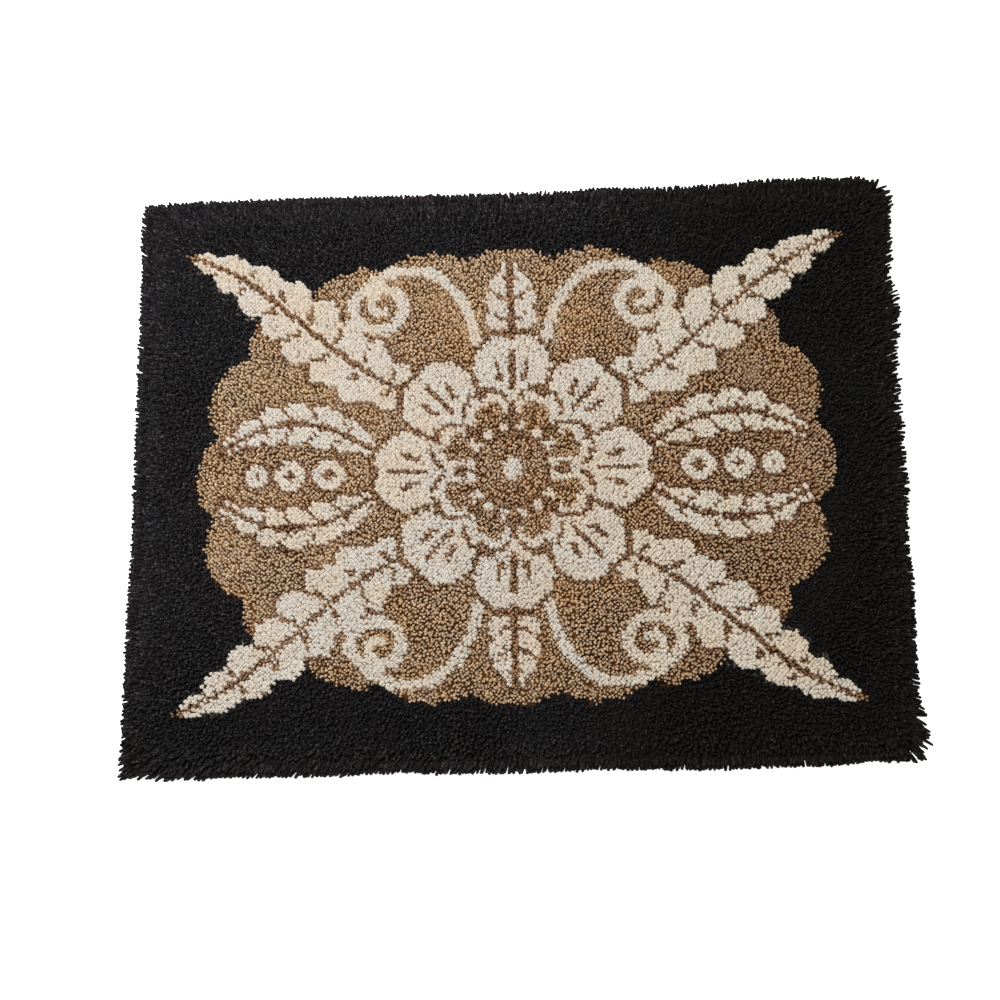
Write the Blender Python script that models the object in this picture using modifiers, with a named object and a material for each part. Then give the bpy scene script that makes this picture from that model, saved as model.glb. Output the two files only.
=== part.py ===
"""A hooked rug: cut wool yarn knotted, hole by hole, into one sheet of rug canvas.

Metres, +Z up. X runs along the rug and Y across it. The rug lies flat on z = 0, with the origin below the
middle of its bounding box. The pile is one lumpy slab, and round its rim it parts into loose locks.
"""

import math
import random
from collections import namedtuple

import bmesh
import bpy
from mathutils import Matrix, Vector, noise

# The canvas is counted in holes, and each hole holds one knot of yarn.
HOLE_PITCH = 0.0254 / 3.75
HOLES_ALONG = 180
HOLES_ACROSS = 135
LENGTH = HOLES_ALONG * HOLE_PITCH
WIDTH = HOLES_ACROSS * HOLE_PITCH
CORNER_RADIUS = 0.016

# Heights above the floor.
CANVAS_THICKNESS = 0.002
PILE_GAP = 0.0003
PILE_BASE = CANVAS_THICKNESS + PILE_GAP
PILE_TOP = 0.0245

# The canvas is cut by hand: how far each corner lies from that of a true rectangle.
Corner = namedtuple("Corner", "side_x side_y shift_x shift_y lock_extra")
CORNERS = (
    Corner(-1, 1, 0.008, 0.002, 0.002),
    Corner(1, 1, 0.000, 0.004, 0.004),
    Corner(1, -1, -0.004, 0.002, 0.007),
    Corner(-1, -1, -0.002, -0.007, 0.004),
)
CORNER_REACH = 0.06

# Each side waves in and out a little along its length, here from -1 to 1.
Side = namedtuple("Side", "across sign bulge turns phase")
SIDES = (
    Side("y", 1, 0.0025, 1.4, 0.50),
    Side("y", -1, 0.0012, 1.3, 0.64),
    Side("x", 1, 0.0020, 1.0, 0.50),
    Side("x", -1, 0.0018, 1.0, 0.48),
)

# The yarn at the rim slants along it. Each share of the side, from -1 to 1, has its degrees to the left,
# as seen looking out over that side.
Slant = namedtuple("Slant", "across sign shares degrees")
SLANTS = (
    Slant("y", 1, (-1.0, -0.9, -0.5, -0.2, 0.0, 0.1, 0.5, 1.0), (44, 30, 18, 12, 12, -14, 4, -8)),
    Slant("y", -1, (-1.0, -0.9, -0.6, -0.3, 0.0, 0.5, 1.0), (-46, -40, -34, -26, -14, -8, 22)),
    Slant("x", 1, (-1.0, -0.8, -0.6, -0.3, 0.3, 0.7, 1.0), (-44, -26, 2, -6, 0, 22, 12)),
    Slant("x", -1, (-1.0, -0.8, -0.5, 0.2, 0.5, 0.8, 1.0), (40, 22, 4, 2, -14, -26, -44)),
)

# The lumps of the pile are two sizes of swell laid over each other. Each rises and sinks by half its height.
Swell = namedtuple("Swell", "height spacing seed")
SWELLS = (
    Swell(0.0034, 0.150, 3.7),
    Swell(0.0034, 0.066, 9.2),
)

# Cells of the pile's top. Each cell at the rim carries two locks on a side, which makes 300 in all.
CELLS_ALONG = 43
CELLS_ACROSS = 32

# The pile's side, ring by ring from its top edge to its foot: how far out from the canvas's edge it stands.
Ring = namedtuple("Ring", "name out height")
RINGS = (
    Ring("top_edge", -0.0045, 0.0218),
    Ring("wall_top", 0.0030, 0.0190),
    Ring("wall_foot", 0.0040, 0.0050),
    Ring("foot", -0.0030, PILE_BASE),
)
CANVAS_OUT = -0.001

# A lock is a tapered four-sided tuft whose root is inset in its piece of the wall.
LOCK_INSET = 0.0023
LOCK_LENGTH = (0.0080, 0.0150)
LOCK_LEAN = math.radians(9)
LOCK_DROOP = (math.radians(4), math.radians(22))
LOCK_TIP_SHARE = (0.38, 0.55)
SEED = 48

# A crease of the pile sharper than this stays a crease, and the rest is shaded smooth.
CREASE_ANGLE = math.radians(35)

# Finish of each material.
Finish = namedtuple("Finish", "name colour roughness")
COTTON_CANVAS = Finish("cotton_canvas", (0.62, 0.55, 0.43), 0.90)
WOOL_PILE = Finish("wool_pile", (0.0137, 0.0130, 0.0144), 0.95)


def clear_scene():
    for old in list(bpy.data.objects):
        bpy.data.objects.remove(old, do_unlink=True)


def plain_material(finish):
    made = bpy.data.materials.new(finish.name)
    made.use_nodes = True
    made.diffuse_color = (*finish.colour, 1.0)
    shader = made.node_tree.nodes["Principled BSDF"]
    shader.inputs["Base Color"].default_value = (*finish.colour, 1.0)
    shader.inputs["Roughness"].default_value = finish.roughness
    shader.inputs["Metallic"].default_value = 0.0
    return made


def side_wave(side, along):
    """How far one side stands out here. Along runs from -1 to 1."""
    return side.bulge * math.cos(2 * math.pi * (side.turns * along / 2 + side.phase))


def laid(flat, height):
    """The point over a place of the square-cut canvas, once the rug lies with its own uneven outline."""
    u = flat.x / (LENGTH / 2)
    v = flat.y / (WIDTH / 2)
    x = flat.x
    y = flat.y
    for corner in CORNERS:
        share = (1 + corner.side_x * u) * (1 + corner.side_y * v) / 4
        x += share * corner.shift_x
        y += share * corner.shift_y
    for side in SIDES:
        if side.across == "y":
            y += side.sign * side_wave(side, u) * max(0.0, side.sign * v)
        else:
            x += side.sign * side_wave(side, v) * max(0.0, side.sign * u)
    return Vector((x, y, height))


def outward(flat):
    """(core, direction) of a place near the rim: the direction fans round the corners."""
    core = Vector((
        min(max(flat.x, CORNER_RADIUS - LENGTH / 2), LENGTH / 2 - CORNER_RADIUS),
        min(max(flat.y, CORNER_RADIUS - WIDTH / 2), WIDTH / 2 - CORNER_RADIUS),
        0.0,
    ))
    return core, (flat - core).normalized()


def rim_place(flat, out):
    """A place of the square-cut canvas's edge moved out to the rounded outline, and past it by this much."""
    core, direction = outward(flat)
    return core + direction * (CORNER_RADIUS + out)


def slant_at(side_across, sign, along):
    """Degrees to the left, read off the stops of one side."""
    stops = next(slant for slant in SLANTS if (slant.across, slant.sign) == (side_across, sign))
    pairs = list(zip(stops.shares, stops.degrees))
    for (low, low_degrees), (high, high_degrees) in zip(pairs, pairs[1:]):
        if along <= high:
            share = max(0.0, (along - low) / (high - low))
            return low_degrees + share * (high_degrees - low_degrees)
    return stops.degrees[-1]


def way_out(flat):
    """The way that yarn falls over the rim: slanted along the sides, and swinging round at the corners."""
    sign_x = 1 if flat.x > 0 else -1
    sign_y = 1 if flat.y > 0 else -1
    over_x = Vector((sign_x, 0.0, 0.0))
    over_y = Vector((0.0, sign_y, 0.0))
    over_x.rotate(Matrix.Rotation(math.radians(slant_at("x", sign_x, 2 * flat.y / WIDTH)), 3, "Z"))
    over_y.rotate(Matrix.Rotation(math.radians(slant_at("y", sign_y, 2 * flat.x / LENGTH)), 3, "Z"))
    nearer_x = (WIDTH / 2 - abs(flat.y)) - (LENGTH / 2 - abs(flat.x))
    share = min(max(0.5 + nearer_x / (2 * CORNER_RADIUS), 0.0), 1.0)
    return (over_x * share + over_y * (1 - share)).normalized()


def lumps(flat):
    """How far the swells lift or sink the pile's top here."""
    height = 0.0
    for swell in SWELLS:
        at = Vector((flat.x / swell.spacing, flat.y / swell.spacing, swell.seed))
        height += swell.height * noise.noise(at)
    return height


def rim_edges(mesh):
    return [edge for edge in mesh.edges if edge.is_boundary]


def flat_grid(mesh, cells_along, cells_across, rim_cuts):
    """A flat grid over the canvas, with a layer that keeps each point's place on the square-cut canvas."""
    size = Matrix.Diagonal((LENGTH / 2, WIDTH / 2, 1.0, 1.0))
    bmesh.ops.create_grid(mesh, x_segments=cells_along, y_segments=cells_across, size=1.0, matrix=size)
    bmesh.ops.subdivide_edges(mesh, edges=rim_edges(mesh), cuts=rim_cuts)
    layer = mesh.verts.layers.float_vector.new("flat")
    for vert in mesh.verts:
        vert[layer] = vert.co
    return layer


def add_object(mesh, name, made_of, collection):
    data = bpy.data.meshes.new(name)
    mesh.to_mesh(data)
    mesh.free()
    data.materials.append(made_of)
    made = bpy.data.objects.new(name, data)
    collection.objects.link(made)
    return made


def build_canvas(collection):
    """The ground of the rug: one flat sheet, with the same uneven outline as the pile on it."""
    mesh = bmesh.new()
    layer = flat_grid(mesh, CELLS_ALONG, CELLS_ACROSS, 0)
    for vert in mesh.verts:
        if vert.is_boundary:
            vert.co = laid(rim_place(vert[layer], CANVAS_OUT), 0.0)
    bmesh.ops.dissolve_faces(mesh, faces=mesh.faces[:], use_verts=False)
    canvas = add_object(mesh, "canvas_ground", plain_material(COTTON_CANVAS), collection)
    thickness = canvas.modifiers.new("thickness", "SOLIDIFY")
    thickness.thickness = CANVAS_THICKNESS
    thickness.offset = 1.0
    return canvas


def add_ring(mesh, layer, ring):
    """Carries the open edge of the pile's skin on to the next ring, and gives back the faces between them."""
    made = bmesh.ops.extrude_edge_only(mesh, edges=rim_edges(mesh))["geom"]
    for vert in (item for item in made if isinstance(item, bmesh.types.BMVert)):
        vert.co = laid(rim_place(vert[layer], ring.out), ring.height)
    return [item for item in made if isinstance(item, bmesh.types.BMFace)]


def lock_length(flat, rng):
    """The locks are uneven, and longer where they fan round a corner."""
    length = rng.uniform(*LOCK_LENGTH)
    for corner in CORNERS:
        tip = Vector((corner.side_x * LENGTH / 2, corner.side_y * WIDTH / 2, 0.0))
        length += corner.lock_extra * max(0.0, 1 - (flat - tip).length / CORNER_REACH)
    return length


def turn_round_rug(face):
    """The direction of a face from the rug's middle, which puts the locks in order round the rim."""
    centre = face.calc_center_median()
    return math.atan2(centre.y, centre.x)


def pull_locks(mesh, wall):
    """Pulls a tapered lock out of each piece of the wall, leaning its own way and drooping to its tip."""
    rng = random.Random(SEED)
    bmesh.ops.inset_individual(mesh, faces=wall, thickness=LOCK_INSET, use_even_offset=True)
    tips = bmesh.ops.extrude_discrete_faces(mesh, faces=wall)["faces"]
    for tip in sorted(tips, key=turn_round_rug):
        root = tip.calc_center_median()
        flat = Vector((root.x, root.y, 0.0))
        aim = Matrix.Rotation(rng.uniform(-LOCK_LEAN, LOCK_LEAN), 3, "Z") @ way_out(flat)
        aim.z = -math.tan(rng.uniform(*LOCK_DROOP))
        reach = aim.normalized() * lock_length(flat, rng)
        share = rng.uniform(*LOCK_TIP_SHARE)
        for vert in tip.verts:
            vert.co = root + (vert.co - root) * share + reach


def build_pile(collection):
    """The knotted yarn: a lumpy top, a side that bulges out over the canvas, and the locks of the rim."""
    mesh = bmesh.new()
    layer = flat_grid(mesh, CELLS_ALONG, CELLS_ACROSS, 1)
    top_edge, wall_top, wall_foot, foot = RINGS
    for vert in mesh.verts:
        if vert.is_boundary:
            vert.co = laid(rim_place(vert[layer], top_edge.out), top_edge.height)
        else:
            vert.co = laid(vert[layer], PILE_TOP + lumps(vert[layer]))
    add_ring(mesh, layer, wall_top)
    wall = add_ring(mesh, layer, wall_foot)
    add_ring(mesh, layer, foot)
    bmesh.ops.holes_fill(mesh, edges=rim_edges(mesh), sides=0)
    bmesh.ops.recalc_face_normals(mesh, faces=mesh.faces[:])
    pull_locks(mesh, wall)
    pile = add_object(mesh, "pile", plain_material(WOOL_PILE), collection)
    pile.data.shade_smooth()
    pile.data.set_sharp_from_angle(angle=CREASE_ANGLE)
    return pile


def main():
    """Builds both solids, and moves them so that the middle of their bounding box is over the origin."""
    clear_scene()
    collection = bpy.data.collections.new("hooked_rug")
    bpy.context.scene.collection.children.link(collection)
    canvas = build_canvas(collection)
    pile = build_pile(collection)

    rug = bpy.data.objects.new("hooked_rug", None)
    collection.objects.link(rug)
    for piece in (canvas, pile):
        piece.parent = rug
    across_x = [vert.co.x for vert in pile.data.vertices]
    across_y = [vert.co.y for vert in pile.data.vertices]
    rug.location.x = -(min(across_x) + max(across_x)) / 2
    rug.location.y = -(min(across_y) + max(across_y)) / 2


main()
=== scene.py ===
"""A hooked rug of cut wool yarn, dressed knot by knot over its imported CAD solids.

Metres, +Z up. X runs along the rug and Y across it. Places are worked out on the square-cut canvas, whose
middle is (0, 0), then carried to where the rug's uneven outline lies. The pile is 48,600 separate yarn ends.
"""

import math
from collections import namedtuple

import bpy
import numpy as np
from mathutils import Matrix, Vector, noise


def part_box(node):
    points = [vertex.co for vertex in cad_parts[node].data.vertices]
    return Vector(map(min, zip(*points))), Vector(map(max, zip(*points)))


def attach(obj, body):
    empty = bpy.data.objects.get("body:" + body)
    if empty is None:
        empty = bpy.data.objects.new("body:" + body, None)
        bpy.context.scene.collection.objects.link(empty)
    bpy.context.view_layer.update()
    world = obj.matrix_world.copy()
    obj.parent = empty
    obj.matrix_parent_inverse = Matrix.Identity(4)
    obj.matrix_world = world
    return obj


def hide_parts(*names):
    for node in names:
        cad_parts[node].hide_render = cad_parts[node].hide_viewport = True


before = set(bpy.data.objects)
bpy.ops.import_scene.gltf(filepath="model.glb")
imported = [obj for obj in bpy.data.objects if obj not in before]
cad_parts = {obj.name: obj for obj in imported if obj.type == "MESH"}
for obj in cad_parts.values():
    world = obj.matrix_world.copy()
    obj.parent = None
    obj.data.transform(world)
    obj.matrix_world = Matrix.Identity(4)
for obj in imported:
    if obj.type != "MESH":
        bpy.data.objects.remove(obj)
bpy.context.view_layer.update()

SEED = 48

# The canvas is counted in holes, and each hole holds one knot of yarn with two cut ends.
INCH = 0.0254
HOLES_AN_INCH = 3.75
HOLE_PITCH = INCH / HOLES_AN_INCH
HOLES_ALONG = 180
HOLES_ACROSS = 135
LENGTH = HOLES_ALONG * HOLE_PITCH
WIDTH = HOLES_ACROSS * HOLE_PITCH
HALF_SIZE = np.array((LENGTH / 2, WIDTH / 2))
CORNER_RADIUS = 0.016

# The grids of cells in the sheets, and how far out from the cut edge each sheet ends. CAD_CELLS is the grid
# of the CAD's own canvas. The core is dimmed, because it lies in the shade of the ends.
CAD_CELLS = (43, 32)
CANVAS_CELLS = (60, 45)
CANVAS_OUT = -0.001
CORE_CELLS = (90, 68)
CORE_OUT = -0.0045
CORE_SHADE = 0.6

# Heights above the floor. The core of the pile sinks towards the rim.
CANVAS_UNDER = 0.0009
CANVAS_TOP = 0.0020
CORE_UNDER = CANVAS_TOP + 0.0001
CORE_TOP = 0.0135
CORE_SINK = 0.0075
CORE_SINK_REACH = 0.040
CORE_SINK_POWER = 1.5
PILE_TOP = 0.0245

# How the hand-cut canvas departs from a true rectangle, as in the CAD solids. Round each corner the ends at
# the rim have their own extra length, and fan out over a stretch of the rim.
Corner = namedtuple("Corner", "side_x side_y shift_x shift_y lock_extra fan")
CORNERS = (
    Corner(-1, 1, 0.008, 0.002, -0.001, 0.032),
    Corner(1, 1, 0.000, 0.004, 0.000, 0.008),
    Corner(1, -1, -0.004, 0.002, 0.001, 0.022),
    Corner(-1, -1, -0.002, -0.007, 0.003, 0.032),
)
CORNER_REACH = 0.06
Side = namedtuple("Side", "across sign bulge turns phase")
SIDES = (
    Side(1, 1, 0.0025, 1.4, 0.50),
    Side(1, -1, 0.0012, 1.3, 0.64),
    Side(0, 1, 0.0020, 1.0, 0.50),
    Side(0, -1, 0.0018, 1.0, 0.48),
)

# Smooth swells over the rug: in metres for the pile's top, for the way its ends lean together and for the
# length of the ends at the rim, and in degrees for the slant of those.
Swell = namedtuple("Swell", "height spacing seed")
TOP_SWELLS = (Swell(0.0034, 0.150, 3.7), Swell(0.0034, 0.066, 9.2))
LEAN_SWELLS = (Swell(0.0040, 0.070, 21.3), Swell(0.0024, 0.024, 33.1))
RIM_LENGTH_SWELLS = (Swell(0.0016, 0.035, 77.1), Swell(0.0008, 0.009, 70.2))
RIM_SLANT_SWELLS = (Swell(5.0, 0.030, 51.7), Swell(4.0, 0.012, 63.3))

# The ends at the rim slant along it. Each share of the side, from -1 to 1, has its degrees to the left, as
# seen looking out over that side, and how loose the ends lie there.
Slant = namedtuple("Slant", "across sign shares degrees loose")
SLANTS = (
    Slant(
        1, 1,
        (-1.0, -0.9, -0.5, -0.2, 0.0, 0.1, 0.25, 0.5, 0.8, 0.96, 1.0),
        (44, 30, 18, 12, 12, -18, -4, 6, 2, 4, -20),
        (1.4, 0.9, 0.8, 0.9, 1.1, 1.3, 1.0, 1.3, 1.0, 0.9, 2.2),
    ),
    Slant(
        1, -1,
        (-1.0, -0.9, -0.6, -0.3, 0.0, 0.2, 0.5, 0.8, 0.96, 1.0),
        (-55, -44, -34, -26, -12, -18, -8, 0, 4, 26),
        (1.6, 1.1, 0.8, 0.8, 0.9, 0.7, 0.8, 0.6, 0.7, 1.4),
    ),
    Slant(
        0, 1,
        (-1.0, -0.9, -0.8, -0.6, -0.3, 0.0, 0.3, 0.5, 0.7, 0.9, 1.0),
        (-46, -40, -28, 4, -6, 0, 0, 10, 26, 14, 8),
        (2.2, 2.0, 1.4, 1.1, 1.2, 1.8, 2.5, 2.0, 2.0, 1.5, 2.9),
    ),
    Slant(
        0, -1,
        (-1.0, -0.8, -0.5, -0.1, 0.2, 0.5, 0.8, 1.0),
        (34, 20, 4, 6, 0, -14, -26, -44),
        (1.4, 1.0, 0.8, 0.9, 1.2, 0.9, 1.0, 1.2),
    ),
)

# Where the ends at the rim reach less or more far than elsewhere: a place, how far round it this goes, and
# the change. It falls off from NUDGE_FLAT of that reach, and is gone at the whole of it.
Nudge = namedtuple("Nudge", "x y reach extra")
NUDGES = (
    Nudge(-0.300, 0.457, 0.450, -0.0013),
    Nudge(0.050, 0.457, 0.090, -0.0020),
    Nudge(0.150, 0.457, 0.400, -0.0017),
    Nudge(0.300, 0.457, 0.130, -0.0050),
    Nudge(0.520, 0.457, 0.080, -0.0020),
    Nudge(0.600, 0.452, 0.024, -0.0070),
    Nudge(0.606, 0.425, 0.026, 0.0050),
    Nudge(0.610, 0.305, 0.028, -0.0060),
    Nudge(0.610, 0.232, 0.045, 0.0080),
    Nudge(0.610, 0.046, 0.050, 0.0012),
    Nudge(0.610, -0.035, 0.055, 0.0050),
    Nudge(0.610, -0.137, 0.045, -0.0018),
    Nudge(0.610, -0.285, 0.060, -0.0035),
    Nudge(0.610, -0.345, 0.040, -0.0040),
    Nudge(0.605, -0.393, 0.015, -0.0065),
    Nudge(0.614, -0.415, 0.048, 0.0130),
    Nudge(0.560, -0.457, 0.080, -0.0060),
    Nudge(0.304, -0.457, 0.080, 0.0022),
    Nudge(-0.030, -0.457, 0.150, 0.0026),
    Nudge(-0.190, -0.457, 0.070, -0.0026),
    Nudge(-0.300, -0.457, 0.080, 0.0018),
    Nudge(-0.330, -0.457, 0.420, 0.0022),
    Nudge(-0.480, -0.457, 0.110, 0.0018),
    Nudge(-0.543, -0.457, 0.080, 0.0018),
    Nudge(-0.610, 0.420, 0.050, 0.0032),
    Nudge(-0.610, 0.275, 0.100, -0.0014),
    Nudge(-0.610, 0.000, 0.700, -0.0010),
    Nudge(-0.610, -0.092, 0.080, -0.0020),
    Nudge(-0.610, -0.330, 0.160, -0.0018),
)
NUDGE_FLAT = 1 / 3

# Yarn. A shade has linear colours: the root of an end, painted with the shade down in the pile (in the
# cream, painted light that lifts the gaps instead), its lit tip, and its tip in patches. Each yarn has the
# shade that it takes in the painted cool, bright light to the left and the one in the painted dimmer, warmer
# light to the right, and the power that holds its root colour down in the pile in each of them. Its spread
# is that of tone from end to end, its lean is how far its ends lean together, its wander is how far each
# leans on its own, and its radii go from the root up. The noise of its plies has a scale, and a range that
# sets their brightness from the darkest to the lightest; in the dark yarn the top of that range paints
# glints on the plies.
DARK, TAN, CREAM, BROWN = range(4)
Shade = namedtuple("Shade", "root tip patch")
Plies = namedtuple("Plies", "scale noise brightness")
Yarn = namedtuple("Yarn", "name faded deep powers plies spread lean wander radii")
YARNS = (
    Yarn(
        name="dark",
        faded=Shade((0.0082, 0.0074, 0.0074), (0.0098, 0.0088, 0.0102), (0.0126, 0.0073, 0.0080)),
        deep=Shade((0.0041, 0.0033, 0.0025), (0.0037, 0.0034, 0.0029), (0.0043, 0.0031, 0.0024)),
        # The plies' brightness reaching 4.6 paints glints on the dark yarn.
        powers=(4.0, 4.0), plies=Plies(450.0, (0.51, 0.64), (0.55, 4.60)),
        spread=0.32, lean=0.65, wander=0.0028, radii=(0.0028, 0.0019),
    ),
    Yarn(
        name="tan",
        faded=Shade((0.1760, 0.0610, 0.0050), (0.4280, 0.3180, 0.2080), (0.4500, 0.2960, 0.1640)),
        deep=Shade((0.1080, 0.0250, 0.0000), (0.3930, 0.2770, 0.1660), (0.4010, 0.2540, 0.1340)),
        powers=(1.5, 2.1), plies=Plies(560.0, (0.36, 0.66), (0.74, 1.26)),
        spread=0.14, lean=1.00, wander=0.0015, radii=(0.0031, 0.0021),
    ),
    Yarn(
        name="cream",
        faded=Shade((0.6600, 0.5550, 0.4350), (0.4050, 0.3780, 0.3420), (0.4280, 0.3550, 0.2680)),
        deep=Shade((0.6600, 0.5400, 0.4000), (0.4470, 0.4160, 0.3560), (0.4540, 0.3780, 0.2850)),
        powers=(3.0, 3.0), plies=Plies(700.0, (0.36, 0.66), (0.94, 1.06)),
        spread=0.04, lean=0.65, wander=0.0010, radii=(0.0038, 0.0033),
    ),
    Yarn(
        name="brown",
        faded=Shade((0.1050, 0.0330, 0.0040), (0.3150, 0.1940, 0.1120), (0.2650, 0.1480, 0.0760)),
        deep=Shade((0.0750, 0.0200, 0.0020), (0.2700, 0.1570, 0.0860), (0.2250, 0.1180, 0.0580)),
        powers=(1.6, 2.1), plies=Plies(560.0, (0.36, 0.66), (0.74, 1.26)),
        spread=0.20, lean=1.00, wander=0.0015, radii=(0.0031, 0.0021),
    ),
)
# The rim's ends are the dark yarn with plies of their own and a warmer cast: painted backlight along the
# fringe.
BACKLIT_RIM_YARN = YARNS[DARK]._replace(
    name="dark_rim_backlit",
    faded=Shade((0.0086, 0.0074, 0.0076), (0.0106, 0.0084, 0.0094), (0.0124, 0.0073, 0.0078)),
    deep=Shade((0.0046, 0.0036, 0.0026), (0.0048, 0.0039, 0.0031), (0.0055, 0.0035, 0.0024)),
    plies=Plies(520.0, (0.50, 0.62), (0.60, 4.60)),
)
PLIES_IN_YARN = 3
YARN_TWIST = 3.0
YARN_UNEVEN = 0.09
FIBRE_RUN = 0.010
FIBRE_STRETCH = (1.0, 1.0, 0.16)

# Painted light: the yarn takes its colours in cool, bright light to the left. Over the stretch given second
# below, to the right of the line given first, it turns to its colours in dimmer, warmer light, and partly so
# over NEAR_OVER to the near side of NEAR_FROM.
DIM_FROM = 0.08
DIM_OVER = 0.26
NEAR_FROM = 0.20
NEAR_OVER = 0.20
NEAR_SHARE = 0.55

# A knot's two ends stand on a line across its hole, whose angle in radians varies. How far each stands from
# the hole's middle is a share of the pitch.
KNOT_ANGLE = -math.pi / 4
KNOT_ANGLE_SPREAD = 0.25
ENDS_APART = 0.34

# The ends in the pile. Those near the rim lean out by a length for each row from the rim, stand a little
# lower and splay a little wider. The shares are those of an end's height at which it has its rings and its
# tip.
MOST_ENDS_A_PIECE = 11500
PILE_SIDES = 5
PILE_SHARES = (0.44, 0.92, 1.0)
BEND_POWER = 1.6
LEAST_RISE = 0.6
PILE_LENGTH_SPREAD = 0.0008
PILE_RADIUS_SPREAD = 0.10
MOST_TONE = 2.5
STRAY_SHARE = 0.03
STRAY_LEAN = (0.0060, 0.0090)
LEAN_OUT = np.array((0.0, 0.0, 0.0138, 0.0096, 0.0066, 0.0044, 0.0029, 0.0018, 0.0010, 0.0005, 0.0))
LEAN_OUT_SPREAD = 0.26
LOW_ROWS = 4
LOW_STEP = 0.0005
SPLAY = 0.22
SPLAY_FROM_ROW = 6
SPLAY_OVER_ROWS = 3

# The ends of the two outer rows fall over the rim. Their falls are degrees from upright, for a knot's outer
# end and its inner one, and the second row falls less. Each end bends from one share of its fall to
# another.
RIM_ROWS = 2
RIM_SIDES = 6
RIM_RADII = np.array((0.0023, 0.0027, 0.0028, 0.0024, 0.0))
RIM_RADIUS_SPREAD = 0.09
# The tone of the rim's ends is dimmed by this share: painted shade on their lit sides.
RIM_PAINTED_SHADE = 0.78
LOOSE_THIN = 0.12
OUTER_FALL = 47.0
INNER_FALL = 59.0
SECOND_ROW_LIFT = 10.0
FALL_SPREAD = 4
SECOND_ROW_FALL_SPREAD = 8
FALL_SHARES = (0.75, 1.22)
MOST_FALL = 97.0
SLANT_SPREAD = 3
STRAY_SLANT_SPREAD = 14
TIP_SLANT_SPREAD = 4
RIM_LENGTH = 0.0232
RIM_LENGTH_SPREAD = 0.0007
STRAY_EXTRA = 0.0020
SECOND_ROW_EXTRA = 0.0030
OUTER_LOOSE_EXTRA = 0.0006
INNER_LOOSE_EXTRA = -0.0018
RIM_START = CANVAS_TOP + 0.0008
RIM_LOWEST = 0.0028
RIM_STEPS = np.array((0.0, 0.40, 0.74, 0.94, 1.0))

# The back of a knot is a ridge under the canvas: its corners and the ends of its ridge, as shares of its
# half size.
BACK_SHAPE = np.array(((-1, -1), (1, -1), (1, 1), (-1, 1), (0, -0.55), (0, 0.55)))
BACK_QUADS = np.array(((2, 1, 4, 5), (0, 3, 5, 4)))
BACK_TRIANGLES = np.array(((1, 0, 4), (3, 2, 5)))
BACK_HALF_SIZE = np.array((0.0027, 0.0031))
BACK_SIZE_SPREAD = 0.07
BACK_ANGLE_SPREAD = 0.10
BACK_TOP = 0.0012
BACK_LOWEST = (0.0, 0.0003)
BACK_MARGIN = 0.0012
BACK_TONE_SPREAD = 0.12
# The backs are coloured this share of the way up an end, from the painted shade of its root towards its tip.
BACK_DEPTH = 0.62
BACK_FIBRE_STRETCH = (1.0, 0.25)
BACK_FIBRE_OFF_AXIS = (0.0, 1.0)

# The baking map: how far an end reaches in its own square, from its middle, and how much of its own place
# the back of a knot fills, with a margin round all the backs.
MAP_REACH = 0.48
MAP_BACK_SHARE = 0.98
MAP_MARGIN = 0.01

# The picture's own view: a point on the floor that it looks at, and how the camera turns about it.
VIEW_TARGET = Vector((-0.0220, -0.0455, 0.0))
VIEW_TURN = math.radians(16.0784)
VIEW_TILT = math.radians(9.4748)
VIEW_ROLL = math.radians(-17.2843)
VIEW_DISTANCE = 1.9332
VIEW_LENS = 1.2
SENSOR_WIDTH = 36.0
FARTHEST_SEEN = 50.0

# The studio. A lamp's place is how far it stands along the camera's right, up and back from the frame's
# origin, which it faces.
FLOOR_HALF = 40.0
FLOOR_DROP = 0.0002
Lamp = namedtuple("Lamp", "name size energy colour place")
LAMPS = (
    Lamp("key", 1.4, 57.0, (1.0, 1.0, 1.0), Vector((-0.60, 0.75, 1.90))),
    Lamp("window", 0.8, 4.0, (0.62, 0.80, 1.0), Vector((-1.15, 0.35, 0.65))),
)


# ---------------------------------------------------------------- the rug's outline and its swells


def unit(vectors):
    return vectors / np.maximum(np.linalg.norm(vectors, axis=-1, keepdims=True), 1e-12)


def heading(angles):
    """Flat unit vectors at these angles."""
    return np.stack([np.cos(angles), np.sin(angles)], axis=-1)


def turned(ways, angles):
    """Flat vectors turned to the left by these angles."""
    cosine = np.cos(angles)
    sine = np.sin(angles)
    x, y = ways[..., 0], ways[..., 1]
    return np.stack([x * cosine - y * sine, x * sine + y * cosine], axis=-1)


def swell_at(places, swells, seed_shift=0.0):
    """The swells laid over each other, at flat places. Each goes up and down by about its height."""
    total = np.zeros(len(places))
    for swell in swells:
        seed = swell.seed + seed_shift
        total += swell.height * np.array([
            noise.noise((x / swell.spacing, y / swell.spacing, seed)) for x, y in places
        ])
    return total


def laid(flat):
    """Places on the square-cut canvas, carried to where the rug lies with its own uneven outline."""
    share = flat / HALF_SIZE
    places = flat.copy()
    for corner in CORNERS:
        weight = (1 + corner.side_x * share[..., 0]) * (1 + corner.side_y * share[..., 1]) / 4
        places[..., 0] += weight * corner.shift_x
        places[..., 1] += weight * corner.shift_y
    for side in SIDES:
        along = share[..., 1 - side.across]
        wave = side.bulge * np.cos(2 * np.pi * (side.turns * along / 2 + side.phase))
        places[..., side.across] += side.sign * wave * np.maximum(0.0, side.sign * share[..., side.across])
    return places


def rim_place(flat, out):
    """Places on the square-cut canvas's edge, moved out to the rounded outline and past it by this much."""
    reach = HALF_SIZE - CORNER_RADIUS
    inner = np.clip(flat, -reach, reach)
    return inner + unit(flat - inner) * (CORNER_RADIUS + out)


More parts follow.
